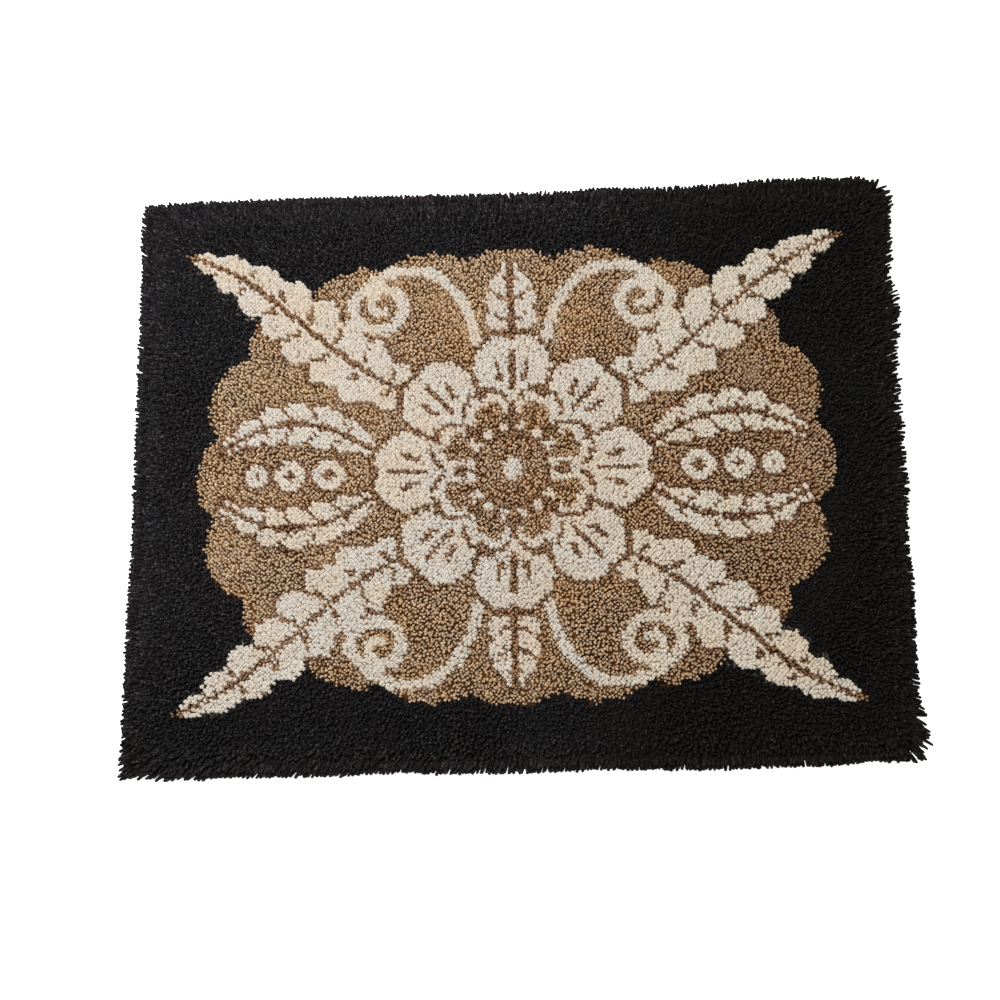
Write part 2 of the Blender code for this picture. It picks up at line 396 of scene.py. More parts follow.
def grid_lines(cells):
    """(x, y) of the lines of a grid over the square-cut canvas."""
    x = np.linspace(-LENGTH / 2, LENGTH / 2, cells[0] + 1)
    y = np.linspace(-WIDTH / 2, WIDTH / 2, cells[1] + 1)
    return x, y


def rim_loop(cells):
    """The places round the edge of a grid over the square-cut canvas, in order."""
    x, y = grid_lines(cells)
    south = np.stack([x[:-1], np.full(cells[0], y[0])], axis=1)
    east = np.stack([np.full(cells[1], x[-1]), y[:-1]], axis=1)
    return np.concatenate([south, east, -south, -east])


def frame_shift():
    """What the frame, which is centred on the whole rug, takes off the canvas's own coordinates."""
    low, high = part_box("canvas_ground")
    outline = laid(rim_place(rim_loop(CAD_CELLS), CANVAS_OUT))
    middle = (outline.min(axis=0) + outline.max(axis=0)) / 2
    return middle - np.array(((low.x + high.x) / 2, (low.y + high.y) / 2))


SHIFT = frame_shift()


def in_frame(flat, height):
    """Points of the row frame over flat places."""
    places = laid(flat) - SHIFT
    height = np.broadcast_to(height, places.shape[:-1])
    return np.concatenate([places, height[..., None]], axis=-1)


def knot_grid():
    """(x, y) of every knot, counted in holes from the middle, as arrays of (row, column)."""
    along = np.arange(HOLES_ALONG) - (HOLES_ALONG - 1) / 2
    across = np.arange(HOLES_ACROSS) - (HOLES_ACROSS - 1) / 2
    return np.meshgrid(along, across)


def knot_places():
    """The flat place of every knot."""
    return np.stack(knot_grid(), axis=-1).reshape(-1, 2) * HOLE_PITCH


# ---------------------------------------------------------------- the design, as a chart of knots


def bezier(points, samples=120):
    """A line of samples along the curve that these points steer."""
    t = np.linspace(0.0, 1.0, samples)[:, None]
    line = [np.array(point, float) for point in points]
    while len(line) > 1:
        line = [(1 - t) * a + t * b for a, b in zip(line[:-1], line[1:])]
    return line[0]


def curl(middle, turns, outer, inner, samples=160):
    """A line of samples that winds in round its middle from one radius to another."""
    t = np.linspace(0.0, 1.0, samples)
    angle = turns * 2 * np.pi * t
    radius = outer + (inner - outer) * t
    return np.array(middle) + heading(angle) * radius[:, None]


class Chart:
    """The yarn of each knot. What is drawn is mirrored into the four quarters."""

    # Lengths are in knots, and each power shapes a curve. LOBE_CUT and VEIN_REACH are shares of the leaf's
    # half width, and VEIN_HALF is a share of a lobe.
    OUTLINE = 1.1
    EDGE_SAMPLES = 200
    SCALLOP_POWER = 0.6
    LEAF_POWER = 0.75
    LOBE_CUT = 0.34
    LOBE_POWER = 1.6
    LEAF_RIB = 0.8
    VEIN_HALF = 0.085
    VEIN_FROM = 1.4
    VEIN_REACH = 0.82
    BUD_RING = 2.1
    PETALS = 8
    PETAL_POWER = 0.5
    NOTCH = 1.6
    NOTCH_POWER = 10
    PETAL_EDGE = 1.6
    PETAL_SIDE = 0.75
    HEART_SIDE = 2.2
    PETAL_RIB = 0.62
    SIDE_RIB = 0.55
    SIDE_RIB_OFF = 2.3
    SIDE_RIB_SPLAY = 2.0
    SIDE_RIB_FROM = 2
    SIDE_RIB_TO = 3
    SEED_RING = 1.0

    def __init__(self):
        x, y = knot_grid()
        self.yarn = np.full(x.shape, DARK)
        self.x = np.abs(x)
        self.y = np.abs(y)
        self.radius = np.hypot(x, y)
        self.turn = np.arctan2(y, x)

    def follow(self, line):
        """(share along the line, distance off it) for every knot."""
        away = np.hypot(self.x[..., None] - line[:, 0], self.y[..., None] - line[:, 1])
        nearest = np.argmin(away, axis=-1)
        return nearest / (len(line) - 1), away.min(axis=-1)

    def outline(self, inside):
        self.yarn[inside & (self.yarn == TAN)] = BROWN

    def scalloped_field(self, half_x, half_y, power, bumps, depth):
        """A tan field with a rounded outline, cut into bumps that are even along each quarter of it."""
        quarter = np.linspace(0, np.pi / 2, self.EDGE_SAMPLES)
        edge_x = half_x * np.cos(quarter) ** (2 / power)
        edge_y = half_y * np.sin(quarter) ** (2 / power)
        run = np.concatenate([[0.0], np.cumsum(np.hypot(np.diff(edge_x), np.diff(edge_y)))])
        along = np.interp(np.arctan2(self.y, self.x), np.arctan2(edge_y, edge_x), run / run[-1])
        reach = ((self.x / half_x) ** power + (self.y / half_y) ** power) ** (1 / power)
        bump = np.abs(np.cos(np.pi * bumps * along)) ** self.SCALLOP_POWER
        self.yarn[reach < 1 - depth + depth * bump] = TAN

    def stroke(self, line, half):
        self.yarn[self.follow(line)[1] < half] = CREAM

    def leaf(self, points, wide, lobes, full=0.75, slope=0.55):
        """A lobed leaf with a rib and side veins, from its base at the first point to its tip."""
        share, off = self.follow(bezier(points))
        between = (share > 0) & (share < 1)
        lobe = (share * lobes - off / wide * slope) % 1
        cut = 1 - self.LOBE_CUT * np.abs(2 * lobe - 1) ** self.LOBE_POWER
        half = wide * np.sin(np.pi * share ** full) ** self.LEAF_POWER * cut
        self.outline(between & (off < half + self.OUTLINE))
        inside = between & (off < half)
        vein = np.minimum(lobe, 1 - lobe) < self.VEIN_HALF
        vein &= (off > self.VEIN_FROM) & (off < half * self.VEIN_REACH)
        self.yarn[inside] = CREAM
        self.yarn[inside & (vein | (off < self.LEAF_RIB))] = BROWN

    def bud(self, middle_x, radius):
        """A round bud on the long axis, with a brown heart."""
        away = np.hypot(self.x - middle_x, self.y)
        self.outline(away < radius + self.OUTLINE)
        self.yarn[away < radius] = CREAM
        self.yarn[away < radius - self.BUD_RING] = BROWN

    def petals(self, start, inner, outer, heart, rib_from, rib_to):
        """A ring of notched petals with ribs. Their hearts show the tan from this far inside the edge."""
        half_turns = self.PETALS / 2
        phase = (self.turn - start) * half_turns
        edge = inner + (outer - inner) * np.abs(np.cos(phase)) ** self.PETAL_POWER
        edge -= self.NOTCH * np.maximum(0.0, np.cos(2 * phase)) ** self.NOTCH_POWER
        off_middle = np.abs(np.sin(phase)) * self.radius / half_turns
        off_side = np.abs(np.cos(phase)) * self.radius / half_turns
        self.yarn[self.radius < edge] = BROWN
        self.yarn[(self.radius < edge - self.PETAL_EDGE) & (off_side > self.PETAL_SIDE)] = CREAM
        self.yarn[(self.radius < edge - heart) & (off_side > self.HEART_SIDE)] = TAN
        share = (self.radius - rib_from) / (rib_to - rib_from)
        self.yarn[(off_middle < self.PETAL_RIB) & (share > 0) & (share < 1)] = BROWN
        beside = np.abs(off_middle - self.SIDE_RIB_OFF - self.SIDE_RIB_SPLAY * share) < self.SIDE_RIB
        beside &= self.radius > rib_from + self.SIDE_RIB_FROM
        beside &= self.radius < rib_to - self.SIDE_RIB_TO
        self.yarn[beside] = BROWN

    def flower_heart(self, edge, inside, seeds_at, seeds, middle):
        """The round heart of the flower, with a ring of seeds."""
        self.yarn[self.radius < edge] = BROWN
        self.yarn[self.radius < inside] = TAN
        ring = np.abs(self.radius - seeds_at) < self.SEED_RING
        self.yarn[ring & (np.cos(self.turn * seeds) > 0.0)] = BROWN
        self.yarn[self.radius < middle] = CREAM


def flower_chart():
    """A plain old-style flower with leaves on a scalloped field."""
    chart = Chart()
    chart.scalloped_field(half_x=76.0, half_y=55.0, power=2.4, bumps=5, depth=0.065)
    chart.stroke(bezier([(8, 30), (12, 54), (30, 54), (38.5, 41.5)]), half=1.2)
    chart.stroke(curl((31.3, 41.0), turns=-1.3, outer=7.2, inner=1.4), half=1.2)
    chart.leaf([(21, 19), (42, 22), (56, 48), (80, 55)], wide=9.2, lobes=8)
    chart.leaf([(33, 5), (46, 15), (60, 15), (71, 5)], wide=5.4, lobes=6)
    chart.leaf([(0, 30), (0, 38), (0, 44), (0, 51.5)], wide=6.6, lobes=4, full=0.9, slope=0.8)
    chart.bud(middle_x=44.0, radius=3.8)
    chart.bud(middle_x=53.5, radius=3.2)
    chart.bud(middle_x=61.5, radius=2.6)
    chart.petals(start=0.0, inner=25.0, outer=35.0, heart=99.0, rib_from=20.0, rib_to=30.0)
    chart.petals(start=np.pi / 8, inner=14.0, outer=21.5, heart=3.9, rib_from=9.0, rib_to=17.0)
    chart.flower_heart(edge=9.4, inside=7.8, seeds_at=5.2, seeds=10, middle=2.4)
    return chart.yarn


# ---------------------------------------------------------------- meshes


def linked(name, data):
    """A new object of the scene."""
    made = bpy.data.objects.new(name, data)
    bpy.context.scene.collection.objects.link(made)
    return made


def new_object(mesh, material):
    mesh.materials.append(material)
    mesh.shade_smooth()
    return linked(mesh.name, mesh)


def new_mesh(name, points, quads, triangles=(), values=(), uv=None):
    """A mesh from arrays. values gives each named point attribute: (n,) as numbers or (n, 3) as vectors."""
    mesh = bpy.data.meshes.new(name)
    corners = np.concatenate([quads.ravel(), np.ravel(triangles)]).astype(np.int32)
    starts = np.concatenate([
        np.arange(len(quads)) * 4,
        len(quads) * 4 + np.arange(len(triangles)) * 3,
    ]).astype(np.int32)
    mesh.vertices.add(len(points))
    mesh.loops.add(len(corners))
    mesh.polygons.add(len(starts))
    mesh.vertices.foreach_set("co", points.astype(np.float32).ravel())
    mesh.loops.foreach_set("vertex_index", corners)
    mesh.polygons.foreach_set("loop_start", starts)
    mesh.update(calc_edges=True)
    for key, value in dict(values).items():
        kind, field = ("FLOAT", "value") if value.ndim == 1 else ("FLOAT_VECTOR", "vector")
        layer = mesh.attributes.new(key, kind, "POINT")
        layer.data.foreach_set(field, value.astype(np.float32).ravel())
    if uv is not None:
        layer = mesh.uv_layers.new(name="OFBake")
        layer.data.foreach_set("uv", uv[corners].astype(np.float32).ravel())
    return mesh


def strand_axes(path):
    """Two unit vectors square to each end at each of its rings. The first is level, or nearly so."""
    ahead = unit(np.gradient(path, axis=1))
    lean = path[:, -1] - path[:, 0]
    across = np.stack([-lean[:, 1] - 1e-5, lean[:, 0], np.zeros(len(path))], axis=-1)[:, None]
    across = unit(across - (across * ahead).sum(axis=-1, keepdims=True) * ahead)
    return across, np.cross(ahead, across)


def strand_map(count, rings, sides):
    """The baking map: a square for each end, with its tip in the middle and its root round the outside."""
    columns = math.ceil(math.sqrt(count))
    cell = np.stack([np.arange(count) % columns, np.arange(count) // columns], axis=-1)
    spread = np.linspace(MAP_REACH, 0.0, rings + 1)[:rings, None, None]
    wheel = (spread * heading(np.arange(sides) * 2 * np.pi / sides)).reshape(-1, 2)
    wheel = np.concatenate([wheel, [[0.0, 0.0]]]) + 0.5
    return ((cell[:, None] + wheel) / columns).reshape(-1, 2)


def strand_faces(count, rings, sides):
    """(quads, triangles) of ends whose points are their rings, from the root up, and then their tip."""
    ring = np.arange(sides)
    after = (ring + 1) % sides
    quads = []
    for low in range(0, (rings - 1) * sides, sides):
        quads.append(np.stack([low + ring, low + after, low + sides + after, low + sides + ring], axis=-1))
    last = (rings - 1) * sides
    caps = np.stack([last + ring, last + after, np.full(sides, rings * sides)], axis=-1)
    first = np.arange(count)[:, None, None] * (rings * sides + 1)
    return (np.concatenate(quads)[None] + first).reshape(-1, 4), (caps[None] + first).reshape(-1, 3)


def strand_mesh(name, path, radii, sides, tone, cool_light_share, rng):
    """Tapered yarn ends in one mesh. path is (end, ring, 3) with the tip last, and radii (end, ring)."""
    count = len(path)
    rings = path.shape[1] - 1
    across, along = (axis[:, :rings, None] for axis in strand_axes(path))
    turn = rng.uniform(0, 2 * np.pi, (count, 1)) + np.arange(sides) * 2 * np.pi / sides
    reach = radii[:, :rings, None] * rng.normal(1.0, YARN_UNEVEN, (count, 1, sides))
    local_x = (reach * np.cos(turn)[:, None])[..., None]
    local_y = (reach * np.sin(turn)[:, None])[..., None]
    wall = path[:, :rings, None] + across * local_x + along * local_y
    points = np.concatenate([wall.reshape(count, rings * sides, 3), path[:, -1:]], axis=1)

    length = np.linalg.norm(np.diff(path, axis=1), axis=-1).cumsum(axis=1)
    share = np.concatenate([np.zeros((count, 1)), length / length[:, -1:]], axis=1)
    depth = np.concatenate([np.repeat(share[:, :rings], sides, axis=1), np.ones((count, 1))], axis=1)
    strand = np.zeros(points.shape)
    ply_turn = turn[:, None] + YARN_TWIST * share[:, :rings, None]
    strand[:, :-1, 0] = (reach * np.cos(ply_turn)).reshape(count, -1)
    strand[:, :-1, 1] = (reach * np.sin(ply_turn)).reshape(count, -1)
    strand[..., 2] = depth * FIBRE_RUN + rng.uniform(0, 1, (count, 1, 3)).sum(axis=-1)
    values = {
        "depth": depth.ravel(),
        "tone": np.repeat(tone, points.shape[1]),
        "cool_light_share": np.repeat(cool_light_share, points.shape[1]),
        "strand": strand.reshape(-1, 3),
    }
    quads, caps = strand_faces(count, rings, sides)
    return new_mesh(name, points.reshape(-1, 3), quads, caps, values, strand_map(count, rings, sides))


# ---------------------------------------------------------------- materials


def feed(tree, node, inputs):
    """Gives a node's inputs their values, or the sockets that feed them."""
    for key, value in inputs.items():
        if isinstance(value, bpy.types.NodeSocket):
            tree.links.new(value, node.inputs[key])
        else:
            node.inputs[key].default_value = value


def add_node(tree, kind, inputs=(), **settings):
    """A shader node. Its inputs are values, or the sockets that feed them."""
    made = tree.nodes.new("ShaderNode" + kind)
    for key, value in settings.items():
        setattr(made, key, value)
    feed(tree, made, dict(inputs))
    return made


def new_material(name):
    made = bpy.data.materials.new(name)
    made.use_nodes = True
    return made, made.node_tree, made.node_tree.nodes["Principled BSDF"]


def attribute(tree, name, socket="Fac"):
    return add_node(tree, "Attribute", attribute_name=name).outputs[socket]


def object_place(tree):
    return add_node(tree, "TexCoord").outputs["Object"]


def noise_of(tree, vector, scale, detail, roughness):
    inputs = {"Vector": vector, "Scale": scale, "Detail": detail, "Roughness": roughness}
    return add_node(tree, "TexNoise", inputs).outputs["Fac"]


def map_range(tree, value, given, made):
    """A value carried from the given range to the one that is made of it, and held at its ends."""
    inputs = {
        "Value": value,
        "From Min": given[0], "From Max": given[1],
        "To Min": made[0], "To Max": made[1],
    }
    return add_node(tree, "MapRange", inputs).outputs["Result"]


def math_of(tree, operation, a, b=0.0):
    return add_node(tree, "Math", {0: a, 1: b}, operation=operation).outputs["Value"]


def times(tree, a, b):
    return math_of(tree, "MULTIPLY", a, b)


def plus(tree, a, b):
    return math_of(tree, "ADD", a, b)


def mix_colour(tree, factor, a, b):
    """From colour a to colour b. Each is a socket, or red, green and blue."""
    made = add_node(tree, "Mix", {"Factor": factor}, data_type="RGBA")
    colours = [value if isinstance(value, bpy.types.NodeSocket) else (*value, 1.0) for value in (a, b)]
    feed(tree, made, {6: colours[0], 7: colours[1]})
    return made.outputs[2]


def brighten(tree, colour, value):
    return add_node(tree, "HueSaturation", {"Color": colour, "Value": value}).outputs["Color"]


def bump_of(tree, relief, strength, distance):
    inputs = {"Height": relief, "Strength": strength, "Distance": distance}
    return add_node(tree, "Bump", inputs).outputs["Normal"]


def wool_colour(tree, yarn):
    """The yarn's colour from its root, in painted shade, to its tip. It is painted in cool, bright light or
    in dimmer, warmer light by its place, with patches in its tips.
    """
    patch = noise_of(tree, object_place(tree), scale=13.0, detail=3.0, roughness=0.6)
    patch = map_range(tree, patch, (0.44, 0.66), (0.0, 1.0))
    cool_light_share = attribute(tree, "cool_light_share")
    dim_tip = mix_colour(tree, patch, yarn.deep.tip, yarn.deep.patch)
    cool_tip = mix_colour(tree, patch, yarn.faded.tip, yarn.faded.patch)
    root = mix_colour(tree, cool_light_share, yarn.deep.root, yarn.faded.root)
    tip = mix_colour(tree, cool_light_share, dim_tip, cool_tip)
    cool_power, dim_power = yarn.powers
    power = map_range(tree, cool_light_share, (0.0, 1.0), (dim_power, cool_power))
    return mix_colour(tree, math_of(tree, "POWER", attribute(tree, "depth"), power), root, tip)


def wool_material(yarn):
    """Cut wool yarn: painted shade down in the pile, each end its own tone, and twisted plies of fibre, with
    painted shade in the grooves between the plies and painted glints on the dark yarn's plies.
    """
    made, tree, shader = new_material("wool_" + yarn.name)
    strand = attribute(tree, "strand", "Vector")
    drawn_out = add_node(tree, "VectorMath", {0: strand, 1: FIBRE_STRETCH}, operation="MULTIPLY")
    fibre = noise_of(tree, drawn_out.outputs["Vector"], scale=2500.0, detail=3.0, roughness=0.65)
    ply = noise_of(tree, strand, scale=yarn.plies.scale, detail=1.0, roughness=0.5)
    section = add_node(tree, "SeparateXYZ", {0: strand}).outputs
    turn = math_of(tree, "ARCTAN2", section["Y"], section["X"])
    lobe = math_of(tree, "ABSOLUTE", math_of(tree, "COSINE", times(tree, turn, PLIES_IN_YARN / 2)))
    fibre_grain = map_range(tree, fibre, (0.25, 0.75), (0.66, 1.34))
    # In the dark yarns the top of the plies' range paints glints; in the others it is grain.
    ply_grain_and_glints = map_range(tree, ply, yarn.plies.noise, yarn.plies.brightness)
    # The colour darkens into the grooves between the plies: painted shade.
    ply_groove_shade = map_range(tree, lobe, (0.0, 0.6), (0.76, 1.06))
    grain = times(tree, times(tree, fibre_grain, ply_grain_and_glints), ply_groove_shade)
    relief = plus(tree, ply, times(tree, fibre, 0.60))
    relief = plus(tree, relief, times(tree, math_of(tree, "SQRT", lobe), 0.6))
    feed(tree, shader, {
        "Base Color": brighten(tree, wool_colour(tree, yarn), times(tree, attribute(tree, "tone"), grain)),
        "Roughness": map_range(tree, fibre, (0.2, 0.8), (0.97, 0.55)),
        "Normal": bump_of(tree, relief, strength=0.6, distance=0.0007),
        "Sheen Weight": 0.015,
        "Sheen Roughness": 0.55,
        "Specular IOR Level": 0.10,
    })
    return made


def core_material():
    """The yarn down between the ends, in the root colours of the knots that it stands for, darkened as
    painted shade.
    """
    made, tree, shader = new_material("wool_core")
    fibre = noise_of(tree, object_place(tree), scale=700.0, detail=3.0, roughness=0.6)
    grain = map_range(tree, fibre, (0.3, 0.7), (0.6, 1.3))
    feed(tree, shader, {
        "Base Color": brighten(tree, attribute(tree, "knot", "Vector"), grain),
        "Roughness": map_range(tree, fibre, (0.2, 0.8), (0.85, 0.98)),
        "Normal": bump_of(tree, fibre, strength=0.8, distance=0.001),
        "Specular IOR Level": 0.2,
    })
    return made


def canvas_material():
    """Stiff cotton rug canvas: pairs of twisted threads both ways, with the holes between them."""
    made, tree, shader = new_material("cotton_canvas")
    place = attribute(tree, "hole", "Vector")
    split = add_node(tree, "SeparateXYZ", {0: place})
    threads = []
    for axis in ("X", "Y"):
        beat = math_of(tree, "PINGPONG", split.outputs[axis], 0.5)
        pair = math_of(tree, "PINGPONG", times(tree, beat, 5.0), 0.5)
        round_thread = map_range(tree, pair, (0.0, 0.5), (0.55, 1.0))
        on_thread = map_range(tree, beat, (0.17, 0.21), (1.0, 0.0))
        threads.append(times(tree, round_thread, on_thread))
    height = math_of(tree, "MAXIMUM", *threads)
    twist = noise_of(tree, place, scale=9.0, detail=4.0, roughness=0.7)
    # The colour follows the threads' height: painted shade down their round sides, and dark in the holes,
    # where the knots show.
    colour = mix_colour(tree, height, (0.20, 0.16, 0.11), (0.70, 0.63, 0.50))
    relief = plus(tree, height, times(tree, twist, 0.25))
    feed(tree, shader, {
        "Base Color": brighten(tree, colour, map_range(tree, twist, (0.3, 0.7), (0.82, 1.12))),
        "Roughness": map_range(tree, twist, (0.2, 0.8), (0.78, 0.95)),
        "Normal": bump_of(tree, relief, strength=0.7, distance=0.0006),
    })
    return made


def floor_material():
    made, tree, shader = new_material("studio_floor")
    feed(tree, shader, {
        "Base Color": (0.90, 0.90, 0.90, 1.0),
        "Roughness": 0.95,
        "Specular IOR Level": 0.0,
        "Emission Color": (1.0, 1.0, 1.0, 1.0),
        "Emission Strength": 0.75,
    })
    return made


# ---------------------------------------------------------------- the pile


class Ends:
    """All the cut ends, two to a knot, as arrays.

    root is the flat place of each, row its knot's row from the rim, and its light share how much of the
    painted cool, bright light it takes against the dimmer, warmer one. out is the way it falls over the rim,
    loose how loosely it does so, and outer whether it is its knot's outer end.
    """

    def __init__(self, chart, rng):
        across, along = np.indices(chart.shape)
        rows = np.minimum.reduce([along, HOLES_ALONG - 1 - along, across, HOLES_ACROSS - 1 - across])
        holes = knot_places()
        apart = heading(KNOT_ANGLE + rng.normal(0, KNOT_ANGLE_SPREAD, len(holes))) * ENDS_APART * HOLE_PITCH
        self.root = np.concatenate([holes - apart, holes + apart])
        self.yarn = np.tile(chart.ravel(), 2)
        self.row = np.tile(rows.ravel(), 2)
        self.cool_light_share = cool_light_share_at(self.root)
        self.out, self.loose = way_out(self.root)
        self.outer = (np.concatenate([-apart, apart]) * self.out).sum(axis=1) > 0

    def of_yarn(self, field):
        """This field of each end's own yarn."""
        return np.array([getattr(yarn, field) for yarn in YARNS])[self.yarn]


def cool_light_share_at(places):
    """How much of the yarn's colour is painted in cool, bright light rather than in dimmer, warmer light:
    all of it to the left, none to the right, and less along the near side.
    """
    right = np.clip((places[:, 0] - DIM_FROM) / DIM_OVER, 0, 1)
    near = np.clip((-NEAR_FROM - places[:, 1]) / NEAR_OVER, 0, 1)
    return 1 - np.minimum(right + NEAR_SHARE * near, 1)


def way_out(places):
    """(way, loose): how ends at these places fall over the rim, slanted along it and fanned at corners."""
    ways = []
    looseness = []
    for axis in (0, 1):
        sign = np.where(places[:, axis] < 0, -1, 1)
        along = places[:, 1 - axis] / HALF_SIZE[1 - axis]
        slant = np.zeros(len(places))
        loose = np.zeros(len(places))
        for side in SLANTS:
            if side.across == axis:
                here = sign == side.sign
                slant[here] = np.interp(along[here], side.shares, side.degrees)
                loose[here] = np.interp(along[here], side.shares, side.loose)
        straight = np.zeros(places.shape)
        straight[:, axis] = sign
        ways.append(turned(straight, np.radians(slant)))
        looseness.append(loose)
    fan = np.zeros(len(places))
    for corner in CORNERS:
        here = (places[:, 0] * corner.side_x > 0) & (places[:, 1] * corner.side_y > 0)
        fan[here] = corner.fan
    margin = HALF_SIZE - np.abs(places)
    over_end = np.clip(0.5 + (margin[:, 1] - margin[:, 0]) / np.maximum(fan, 1e-6), 0, 1)
    way = unit(over_end[:, None] * ways[0] + (1 - over_end)[:, None] * ways[1])
    return way, over_end * looseness[0] + (1 - over_end) * looseness[1]


def lean_field(ends, rng):
    """How far each end's tip lies from over its root: by swells, its own wander, strays, and the rim."""
    count = len(ends.root)
    lean = np.stack([swell_at(ends.root, LEAN_SWELLS, axis) for axis in (0, 1)], axis=-1)
    lean *= ends.of_yarn("lean")[:, None]
    lean += rng.normal(0, 1, (count, 2)) * ends.of_yarn("wander")[:, None]
    stray = rng.random(count) < STRAY_SHARE
    way = heading(rng.uniform(0, 2 * np.pi, count))
    far = rng.uniform(*STRAY_LEAN, count)
    lean[stray] = (way * far[:, None])[stray]
    push = LEAN_OUT[np.minimum(ends.row, len(LEAN_OUT) - 1)] * rng.normal(1.0, LEAN_OUT_SPREAD, count)
    return lean + ends.out * push[:, None]


def pile_path(ends, chosen, lean, rng):
    """Ends that stand in the pile: from inside the core up to the tip, bending over as they lean."""
    root = ends.root[chosen]
    lean = lean[chosen]
    full = PILE_TOP - CANVAS_TOP + swell_at(root, TOP_SWELLS) + rng.normal(0, PILE_LENGTH_SPREAD, len(root))
    full -= LOW_STEP * np.maximum(0, LOW_ROWS - ends.row[chosen])
    rise = np.sqrt(np.maximum(full ** 2 - (lean ** 2).sum(axis=1), (LEAST_RISE * full) ** 2))
    rings = [in_frame(root + lean * share ** BEND_POWER, CANVAS_TOP + rise * share) for share in PILE_SHARES]
    return np.stack(rings, axis=1)


def rim_lengths(root, second_row, outer, loose, stray, rng):
    """How long the ends at the rim are: uneven where they lie loose, and changed by corners and nudges."""
    uneven = rng.normal(0, RIM_LENGTH_SPREAD, len(root)) + swell_at(root, RIM_LENGTH_SWELLS)
    length = RIM_LENGTH + uneven * loose + STRAY_EXTRA * stray + SECOND_ROW_EXTRA * second_row / loose
    loose_extra = np.where(outer & ~second_row, OUTER_LOOSE_EXTRA, INNER_LOOSE_EXTRA)
    length += loose_extra * np.maximum(loose - 1, 0)
    for corner in CORNERS:
        tip = np.array((corner.side_x, corner.side_y)) * HALF_SIZE
        near = np.maximum(0.0, 1 - np.linalg.norm(root - tip, axis=1) / CORNER_REACH)
        length += corner.lock_extra * near
    for nudge in NUDGES:
        off = np.linalg.norm(root - (nudge.x, nudge.y), axis=1) / nudge.reach
        length += nudge.extra * np.clip((1 - off) / (1 - NUDGE_FLAT), 0, 1)
    return length


def rim_path(ends, chosen, rng):
    """Ends of the outer rows: they come up out of their knots and fall outwards over the canvas's edge."""
    root = ends.root[chosen]
    outer = ends.outer[chosen]
    loose = ends.loose[chosen]
    second_row = ends.row[chosen] == 1
    count = len(root)
    fall = np.where(outer, OUTER_FALL, INNER_FALL) - SECOND_ROW_LIFT * second_row
    fall = fall + rng.normal(0, 1, count) * np.where(second_row, SECOND_ROW_FALL_SPREAD, FALL_SPREAD)
    fall = np.radians(fall)[:, None]
    stray = rng.random(count) < STRAY_SHARE * loose
    slant = swell_at(root, RIM_SLANT_SWELLS)
    slant += rng.normal(0, 1, count) * np.where(stray, STRAY_SLANT_SPREAD, SLANT_SPREAD)
    way = turned(ends.out[chosen], np.radians(slant * loose))
    tip_way = turned(way, np.radians(rng.normal(0, TIP_SLANT_SPREAD, count) * loose))
    half = rim_lengths(root, second_row, outer, loose, stray, rng)[:, None] / 2
    first_fall = fall * FALL_SHARES[0]
    last_fall = np.minimum(fall * FALL_SHARES[1], np.radians(MOST_FALL))
    bend_flat = root + way * half * np.sin(first_fall)
    tip_flat = bend_flat + tip_way * half * np.sin(last_fall)
    bend_up = np.maximum(RIM_START + half * np.cos(first_fall), RIM_LOWEST)
    tip_up = np.maximum(bend_up + half * np.cos(last_fall), RIM_LOWEST)
    start = in_frame(root, RIM_START)[:, None]
    bend = in_frame(bend_flat, bend_up[:, 0])[:, None]
    tip = in_frame(tip_flat, tip_up[:, 0])[:, None]
    t = RIM_STEPS[None, :, None]
    return (1 - t) ** 2 * start + 2 * t * (1 - t) * bend + t ** 2 * tip


def build_pile(chart, materials):
    """The ends that stand in the pile, yarn by yarn, and then those that fall over the rim."""
    rng = np.random.default_rng(SEED)
    ends = Ends(chart, rng)
    lean = lean_field(ends, rng)
    tone = np.clip(rng.normal(0, 1, len(ends.root)), -MOST_TONE, MOST_TONE)
    tone = np.exp(ends.of_yarn("spread") * tone)
    pieces = []
    for index, yarn in enumerate(YARNS):
        standing = np.flatnonzero((ends.yarn == index) & (ends.row >= RIM_ROWS))
        standing = standing[np.argsort(ends.root[standing, 0], kind="stable")]
        parts = math.ceil(len(standing) / MOST_ENDS_A_PIECE)
        for part, chosen in enumerate(np.array_split(standing, parts)):
            path = pile_path(ends, chosen, lean, rng)
            splay = np.clip((SPLAY_FROM_ROW - ends.row[chosen, None]) / SPLAY_OVER_ROWS, 0, 1)
            thick = rng.normal(1.0, PILE_RADIUS_SPREAD, (len(chosen), 1)) * (1 + SPLAY * splay)
            thick = thick * np.array((*yarn.radii, 0.0))
            name = f"pile_{yarn.name}_{part + 1}"
            mesh = strand_mesh(name, path, thick, PILE_SIDES, tone[chosen], ends.cool_light_share[chosen], rng)
            pieces.append(new_object(mesh, materials[index]))
    chosen = np.flatnonzero(ends.row < RIM_ROWS)
    path = rim_path(ends, chosen, rng)
    thick = rng.normal(1.0, RIM_RADIUS_SPREAD, (len(chosen), 1))
    thick = thick * (1 + LOOSE_THIN * (1 - ends.loose[chosen, None])) * RIM_RADII
    # The rim's ends carry painted shade on their tone, and the warm painted backlight of their own yarn.
    mesh = strand_mesh("rim_ends", path, thick, RIM_SIDES, tone[chosen] * RIM_PAINTED_SHADE, ends.cool_light_share[chosen], rng)
    pieces.append(new_object(mesh, wool_material(BACKLIT_RIM_YARN)))
    return pieces


# ---------------------------------------------------------------- core, canvas and the backs of the knots


def sheet_places(cells, out):
    """The places of a grid over the canvas, row by row, with its edge rounded and moved out by this much."""
    flat = np.stack(np.meshgrid(*grid_lines(cells)), axis=-1).reshape(-1, 2)
    edge = (np.abs(flat) > HALF_SIZE - 1e-6).any(axis=1)
    return np.where(edge[:, None], rim_place(flat, out), np.clip(flat, -HALF_SIZE - out, HALF_SIZE + out))


